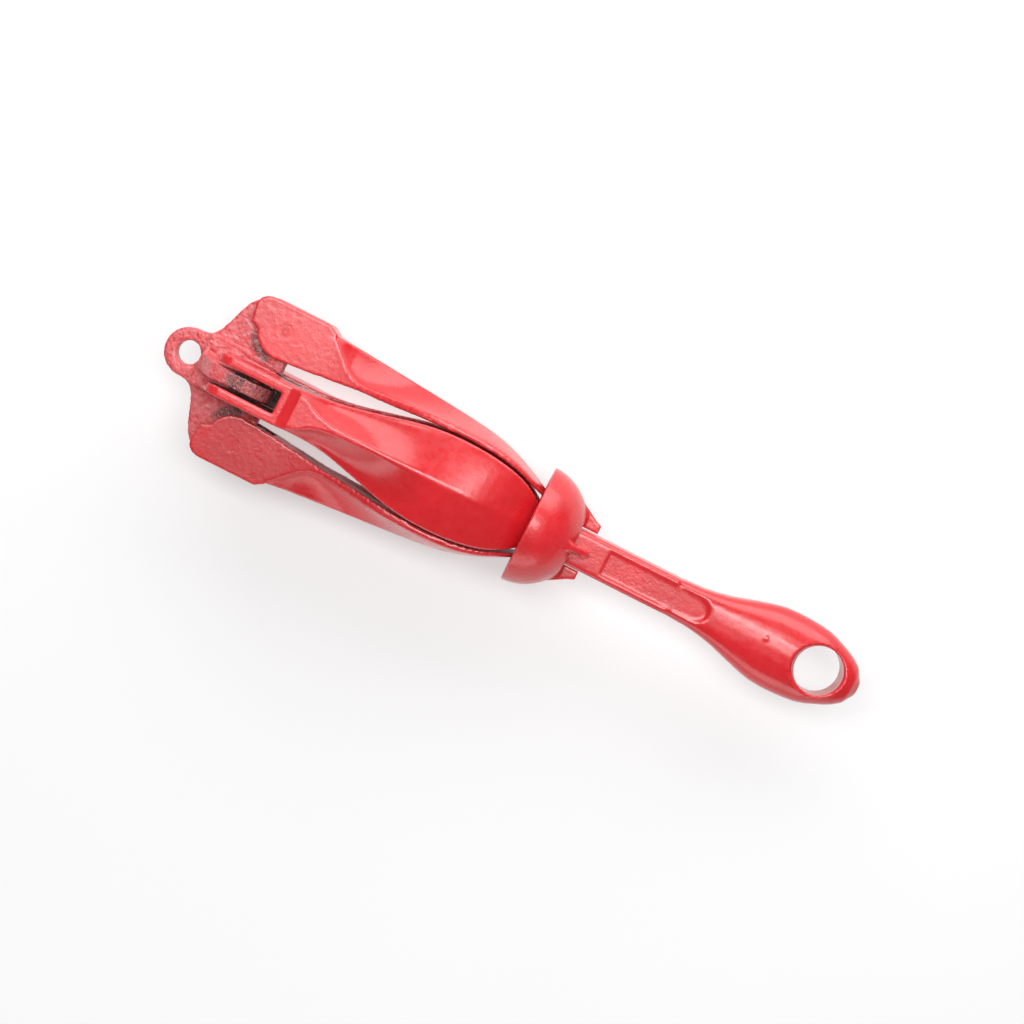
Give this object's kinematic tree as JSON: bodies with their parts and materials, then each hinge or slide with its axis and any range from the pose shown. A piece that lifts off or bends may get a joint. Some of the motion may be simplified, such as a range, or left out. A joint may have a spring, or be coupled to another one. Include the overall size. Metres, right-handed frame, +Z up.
{
  "type": "folding grapnel anchor",
  "caption": "Folding grapnel anchor with hinged flukes closed under a sliding domed collar, a square shank, a bulb handle with a shackle eye, and a trip eye at the crown.",
  "frame": {"origin": "centre of the shackle eye in the handle end of the shank", "axes": "+X along the shank from the crown towards the shackle eye, +Z up through the shackle eye's bore and the top fluke, with the anchor lying down and folded"},
  "size_m": [0.3178, 0.0726, 0.0726],
  "materials": {
    "red_casting": "gloss",
    "pin_steel": "satin"
  },
  "bodies": {
    "shank": {"shank": "red_casting"},
    "collar": {"collar": "red_casting"},
    "fluke_top": {"fluke_top": "red_casting", "pin_top": "pin_steel"},
    "fluke_bottom": {"fluke_bottom": "red_casting", "pin_bottom": "pin_steel"},
    "fluke_left": {"fluke_left": "red_casting", "pin_left": "pin_steel"},
    "fluke_right": {"fluke_right": "red_casting", "pin_right": "pin_steel"}
  },
  "joints": [
    {"name": "collar_slide", "type": "slide", "parent": "shank", "child": "collar", "axis": [1, 0, 0], "range_m": [0, 0.045]},
    {"name": "fluke_top_fold", "type": "hinge", "parent": "shank", "child": "fluke_top", "pos_m": [-0.256, 0, 0.0255], "axis": [0, -1, 0], "range_deg": [0, 90]},
    {"name": "fluke_bottom_fold", "type": "hinge", "parent": "shank", "child": "fluke_bottom", "pos_m": [-0.256, 0, -0.0255], "axis": [0, 1, 0], "range_deg": [0, 90]},
    {"name": "fluke_left_fold", "type": "hinge", "parent": "shank", "child": "fluke_left", "pos_m": [-0.256, 0.0255, 0], "axis": [0, 0, 1], "range_deg": [0, 90]},
    {"name": "fluke_right_fold", "type": "hinge", "parent": "shank", "child": "fluke_right", "pos_m": [-0.256, -0.0255, 0], "axis": [0, 0, -1], "range_deg": [0, 90]}
  ]
}
